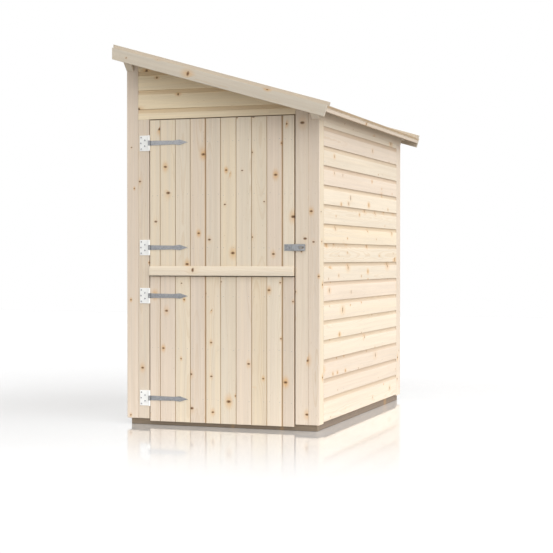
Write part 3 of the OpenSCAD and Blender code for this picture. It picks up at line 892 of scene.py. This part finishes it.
@dataclass
class RoundHeads:
    """Screw or nail heads: h(r, t) = height (1 - (r/R)^2)^0.5, with a cross sunk in the middle of a screw."""

    name: str
    body: str
    finish: Enum
    radius: float
    height: float
    cross: float = 0.0
    rings: int = 4
    sides: int = 12

    def head(self) -> Array:
        """One head's points about its own foot, rings by sides by 3, from the foot to the crown."""
        r = np.linspace(1.0, 0.0, self.rings, endpoint=False)[:, None]
        t = np.linspace(0.0, 2 * math.pi, self.sides, endpoint=False)[None, :]
        h = self.height * np.sqrt(np.clip(1 - r ** 2, 0, 1)) * np.ones_like(t)
        h = h - self.cross * np.clip(1 - r * 1.8, 0, 1) * np.clip(np.cos(2 * t) ** 4, 0, 1)
        return np.stack([r * self.radius * np.cos(t), r * self.radius * np.sin(t), h], -1)

    def build(self, places: Array, outward: Array, paints: Paintbox) -> bpy.types.Object:
        """Puts a head at each place.

        Args:
            places: the feet, count by 3, in metres.
            outward: for each place, the unit vector that its head faces.
            paints: the materials.
        Returns:
            All the heads as one object.
        """
        head = self.head()
        m, n = head.shape[:2]
        foot = head[:1] * [1.0, 1.0, 0.0] + [0.0, 0.0, -self.height]
        crown = np.array([[[0.0, 0.0, self.height - self.cross]]])
        shell = np.concatenate([foot, head]).reshape(-1, 3)
        shell = np.concatenate([shell, crown.reshape(1, 3)])
        side = np.cross(outward, np.where(np.abs(outward[:, 2:]) > 0.9, Y_AXIS, Z_AXIS))
        side /= np.linalg.norm(side, axis=1, keepdims=True)
        up = np.cross(outward, side)
        turn = np.random.default_rng(5).random(len(places)) * math.pi
        c, s = np.cos(turn)[:, None], np.sin(turn)[:, None]
        side, up = side * c + up * s, up * c - side * s
        points = (places[:, None] + shell[None, :, :1] * side[:, None] + shell[None, :, 1:2] * up[:, None]
                  + shell[None, :, 2:] * outward[:, None])
        i, j = np.meshgrid(np.arange(m), np.arange(n), indexing="ij")
        k = (j + 1) % n
        quads = np.stack([i * n + j, i * n + k, (i + 1) * n + k, (i + 1) * n + j], -1).reshape(-1, 4).tolist()
        top, tip = m * n, (m + 1) * n
        one = quads + [[top + a, top + (a + 1) % n, tip] for a in range(n)] + [list(range(n))[::-1]]
        handed = float(np.sum(np.cross(side[0], up[0]) * outward[0]))
        one = one if handed > 0 else [face[::-1] for face in one]
        count = len(shell)
        faces = [[v + p * count for v in face] for p in range(len(places)) for face in one]
        mesh = bpy.data.meshes.new(self.name)
        mesh.from_pydata(points.reshape(-1, 3), [], faces)
        smooth(mesh, 50.0)
        return settle(bpy.data.objects.new(self.name, mesh), Fit(self.body, (), self.finish), paints)


class Leaf(Enum):
    """The two leaves of the door and the heights of their hinges."""

    UPPER = ("upper_leaf", ("upper_leaf_top", "upper_leaf_bottom"))
    LOWER = ("lower_leaf", ("lower_leaf_top", "lower_leaf_bottom"))


@dataclass
class Ironwork:
    """Hinges, hasp and staple, with their screws."""

    plate_screws: tuple[tuple[float, float], ...] = ((-0.547, 0.034), (-0.547, -0.034), (-0.524, 0.017),
                                                      (-0.524, -0.017), (-0.549, 0.0))
    strap_screws: tuple[float, ...] = (-0.462, -0.405, -0.345, -0.296)
    hasp_screws: tuple[tuple[float, float], ...] = ((0.359, 0.010), (0.359, -0.010), (0.378, 0.0))
    seat: float = 0.0002

    def build(self, paints: Paintbox) -> None:
        """Builds the plates, straps, hasp and staple and sets the screws."""
        shed_screws: list[tuple[float, float, float]] = []
        for leaf in Leaf:
            body, hinges = leaf.value
            strap_screws: list[tuple[float, float, float]] = []
            for hinge in hinges:
                EasedPiece(hinge + "_plate", Metal.WHITE, 0.0007, 31).build(paints)
                EasedPiece(hinge + "_strap", Metal.GALVANISED, 0.0005, 32).build(paints)
                low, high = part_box(hinge + "_plate")
                middle = (low.z + high.z) / 2
                face = self.face_y(hinge + "_plate", -0.53)
                shed_screws += [(x, face, middle + dz) for x, dz in self.plate_screws]
                face = self.face_y(hinge + "_strap", -0.35)
                strap_screws += [(x, face, middle) for x in self.strap_screws]
            self.screws(f"{body}_strap_screws", body, strap_screws, paints)
        low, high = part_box("hasp_plate")
        middle = (low.z + high.z) / 2
        face = self.face_y("hasp_plate", 0.37)
        self.screws("hasp_screws", "upper_leaf", [(x, face, middle + dz) for x, dz in self.hasp_screws], paints)
        self.screws("plate_screws", "shed", shed_screws, paints)
        for node in ("hasp", "hasp_plate", "staple"):
            EasedPiece(node, Metal.GALVANISED, 0.0005, 33).build(paints)

    def face_y(self, node: str, x: float) -> float:
        """The foremost y of a fitting near an x."""
        points = np.array([v.co for v in frame["nodes"][node].data.vertices])
        flat = points[(points[:, 0] > x - 0.03) & (points[:, 0] < x + 0.03)]
        near = flat if len(flat) else points
        return float(near[:, 1].min())

    def screws(self, name: str, body: str, feet: list[tuple[float, float, float]], paints: Paintbox) -> None:
        """Sets pan-head screws on faces that look to the front."""
        places = np.array(feet) + [0.0, self.seat, 0.0]
        heads = RoundHeads(name, body, Metal.GALVANISED, 0.0042, 0.0020, 0.0010, 5, 16)
        heads.build(places, np.tile(-Y_AXIS, (len(places), 1)), paints)


@dataclass
class Nails:
    """Nail heads along the posts and studs, and where the leaves' boards cross their ledges."""

    cladding: Shiplap
    inset: float = 0.0001

    def walls(self, paints: Paintbox) -> None:
        """Nails every course of the side and back walls to the posts and studs behind it."""
        feet, ways = [], []
        rise, sink = 0.022, self.inset
        for node, axis, face in (("right_wall", 1, X_AXIS), ("left_wall", 1, -X_AXIS), ("back_wall", 0, Y_AXIS)):
            low, high = (np.array(corner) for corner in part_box(node))
            studs = np.array([low[axis] + 0.018, -0.454, 0.0, 0.454, high[axis] - 0.018]) if axis == 1 else \
                np.array([low[0] + 0.020, -0.231, 0.144, high[0] - 0.020])
            courses = self.cladding.feet(self.cladding.side_arris, low[2], high[2]) + rise
            s, z = (grid.ravel() for grid in np.meshgrid(studs, courses))
            keep = z < high[2] - 0.01
            if axis == 0:
                keep &= z < self.cladding.roof.height(s) - 0.015
            place = np.zeros((int(keep.sum()), 3))
            place[:, axis], place[:, 2] = s[keep], z[keep]
            other = 1 - axis
            place[:, other] = (high if face[other] > 0 else low)[other] - sink * face[other]
            feet.append(place)
            ways.append(np.tile(face, (len(place), 1)))
        heads = RoundHeads("wall_nails", "shed", Metal.GALVANISED, 0.0024, 0.0007, 0.0, 3, 8)
        heads.build(np.concatenate(feet), np.concatenate(ways), paints)

    def leaf(self, leaf: DoorLeaf, rows: tuple[float, ...], paints: Paintbox) -> None:
        """Nails each board of a leaf to its ledges, one nail near each side of the board."""
        low, high = (np.array(corner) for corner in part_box(leaf.node))
        edges = np.array([low[0], *leaf.joints, high[0]])
        x = np.concatenate([edges[:-1] + 0.017, edges[1:] - 0.017])
        x, z = (grid.ravel() for grid in np.meshgrid(x, np.array(rows)))
        shake = np.random.default_rng(leaf.seed).normal(0.0, 0.0035, (2, len(x)))
        place = np.stack([x + shake[0] * 0.5, np.full_like(x, low[1] + self.inset), z + shake[1]], 1)
        heads = RoundHeads(leaf.node + "_nails", leaf.body, Metal.GALVANISED, 0.0019, 0.0006, 0.0, 3, 8)
        heads.build(place, np.tile(-Y_AXIS, (len(place), 1)), paints)


@dataclass
class Studio:
    """The floor, the lamps, the white surroundings and the camera."""

    floor_half: float = 14.0
    eye: tuple[float, float, float] = (2.8673, -8.3185, 0.9891)
    yaw: float = 19.20
    pitch: float = 0.754
    roll: float = 0.0
    lens: float = 88.27
    surround: float = 0.47
    floor_seen: float = 0.77
    floor_bounce: float = 0.26
    floor_gloss: float = 0.66

    def floor(self) -> None:
        """A pale floor with a soft mirror image close round the shed, made of an even grid of one-metre squares."""
        side = np.linspace(-self.floor_half, self.floor_half, 29)
        x, y = np.meshgrid(side, side, indexing="ij")
        n = len(side)
        i, j = np.meshgrid(np.arange(n - 1), np.arange(n - 1), indexing="ij")
        quads = np.stack([i * n + j, (i + 1) * n + j, (i + 1) * n + j + 1, i * n + j + 1], -1).reshape(-1, 4)
        mesh = bpy.data.meshes.new("floor")
        mesh.from_pydata(np.stack([x, y, np.zeros_like(x)], -1).reshape(-1, 3), [], quads.tolist())
        floor = bpy.data.objects.new("floor", mesh)
        bpy.context.scene.collection.objects.link(floor)
        mesh.materials.append(self.floor_material())

    def floor_material(self) -> bpy.types.Material:
        """A white floor whose gloss fades with d, the distance to the shed's foot.

        d = length(max(abs(p - centre) - half, 0)), and the share of gloss falls from its most at d = 0 to none.
        """
        g = Graph("pale floor")
        place = g.place()
        low, high = (np.array(corner) for corner in CAD_BOX)
        centre, half = (low + high) / 2, (high - low) / 2 - 0.1
        away = g.vector("ABSOLUTE", g.vector("SUBTRACT", place, (*centre[:2], 0.0)), (0.0, 0.0, 0.0))
        away = g.vector("MAXIMUM", g.vector("SUBTRACT", away, (*half[:2], 1.0)), (0.0, 0.0, 0.0))
        distance = g.vector("LENGTH", away, (0.0, 0.0, 0.0))
        share = g.step(distance, 2.0, 0.0, self.floor_gloss)
        seen = g.node("ShaderNodeLightPath").outputs["Is Camera Ray"]
        matt = g.node("ShaderNodeBsdfDiffuse")
        wash = g.math("MULTIPLY", g.math("SUBTRACT", g.noise(place, 3.0, 2.0), 0.5), 0.01)
        bright = g.math("ADD", g.math("MULTIPLY", seen, self.floor_seen - self.floor_bounce),
                        g.math("ADD", wash, self.floor_bounce))
        g.put(matt.inputs["Color"], g.join(bright, bright, bright))
        gloss = g.node("ShaderNodeBsdfGlossy")
        gloss.inputs["Roughness"].default_value = 0.07
        gloss.inputs["Color"].default_value = (1.0, 1.0, 1.0, 1.0)
        blend = g.node("ShaderNodeMixShader")
        g.put(blend.inputs[0], share)
        g.put(blend.inputs[1], matt.outputs[0])
        g.put(blend.inputs[2], gloss.outputs[0])
        output = g.tree.nodes["Material Output"]
        g.tree.nodes.remove(g.shader)
        g.tree.links.new(blend.outputs[0], output.inputs["Surface"])
        return g.material

    def world(self) -> None:
        """White to the eye, to gloss and to glass, and a plain soft light to everything else."""
        world = bpy.data.worlds.new("white room")
        world.use_nodes = True
        tree = world.node_tree
        shade = tree.nodes["Background"]
        shade.inputs["Color"].default_value = (1.0, 1.0, 1.0, 1.0)
        path = tree.nodes.new("ShaderNodeLightPath")
        most = path.outputs["Is Camera Ray"]
        for name in ("Is Glossy Ray", "Is Transmission Ray"):
            either = tree.nodes.new("ShaderNodeMath")
            either.operation = "MAXIMUM"
            tree.links.new(most, either.inputs[0])
            tree.links.new(path.outputs[name], either.inputs[1])
            most = either.outputs[0]
        reach = tree.nodes.new("ShaderNodeMapRange")
        reach.inputs["To Min"].default_value = self.surround
        reach.inputs["To Max"].default_value = 1.0
        tree.links.new(most, reach.inputs["Value"])
        tree.links.new(reach.outputs[0], shade.inputs["Strength"])
        bpy.context.scene.world = world

    def lamp(self, name: str, towards: tuple[float, float, float], strength: float, angle: float,
             colour: Colour = (1.0, 1.0, 1.0)) -> None:
        """A wide far lamp.

        Args:
            name: the lamp's name.
            towards: the way from the shed to the lamp.
            strength: its strength.
            angle: how wide it looks from the shed, in degrees.
            colour: its colour.
        """
        light = bpy.data.lights.new(name, "SUN")
        light.energy, light.angle, light.color = strength, math.radians(angle), colour
        lamp = bpy.data.objects.new(name, light)
        lamp.rotation_mode = "QUATERNION"
        lamp.rotation_quaternion = Vector(towards).to_track_quat("Z", "Y")
        bpy.context.scene.collection.objects.link(lamp)

    def camera(self) -> None:
        """The camera, turned left by yaw and down by pitch."""
        data = bpy.data.cameras.new("camera")
        data.lens, data.sensor_width, data.clip_end = self.lens, 36.0, 200.0
        camera = bpy.data.objects.new("camera", data)
        turn = (Matrix.Rotation(math.radians(self.yaw), 4, "Z") @ Matrix.Rotation(math.radians(90 - self.pitch), 4, "X")
                @ Matrix.Rotation(math.radians(self.roll), 4, "Z"))
        camera.matrix_world = Matrix.Translation(self.eye) @ turn
        bpy.context.scene.collection.objects.link(camera)
        bpy.context.scene.camera = camera

    def build(self) -> None:
        """Sets the studio up."""
        self.floor()
        self.world()
        self.lamp("key", (0.70, -0.12, 0.70), 3.45, 100.0)
        self.lamp("front fill", (-0.20, -0.85, 0.42), 0.80, 80.0)
        self.camera()
        bpy.context.scene.view_settings.view_transform = "Standard"


def main() -> None:
    """Builds the shed, its fittings and the studio in order."""
    logging.basicConfig(level=logging.INFO, format="%(name)s: %(message)s")
    paints = Paintbox()
    low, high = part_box("edge_battens")
    roof = RoofLine(math.radians(16.3), low.x, high.z)
    cladding = Shiplap(roof.under(0.038))
    upper = DoorLeaf("upper_leaf_boards", "upper_leaf", 41)
    lower = DoorLeaf("lower_leaf_boards", "lower_leaf", 42)
    Studio().build()
    cladding.build(paints)
    upper.build(paints)
    lower.build(paints)
    RoofBoards(roof).build(paints)
    FloorBoards().build(paints)
    Timbers().build(paints)
    Ironwork().build(paints)
    nails = Nails(cladding)
    nails.walls(paints)
    nails.leaf(upper, (1.050, 1.365, 1.675), paints)
    nails.leaf(lower, (0.160, 0.460, 0.769), paints)


if __name__ == "__main__":
    main()
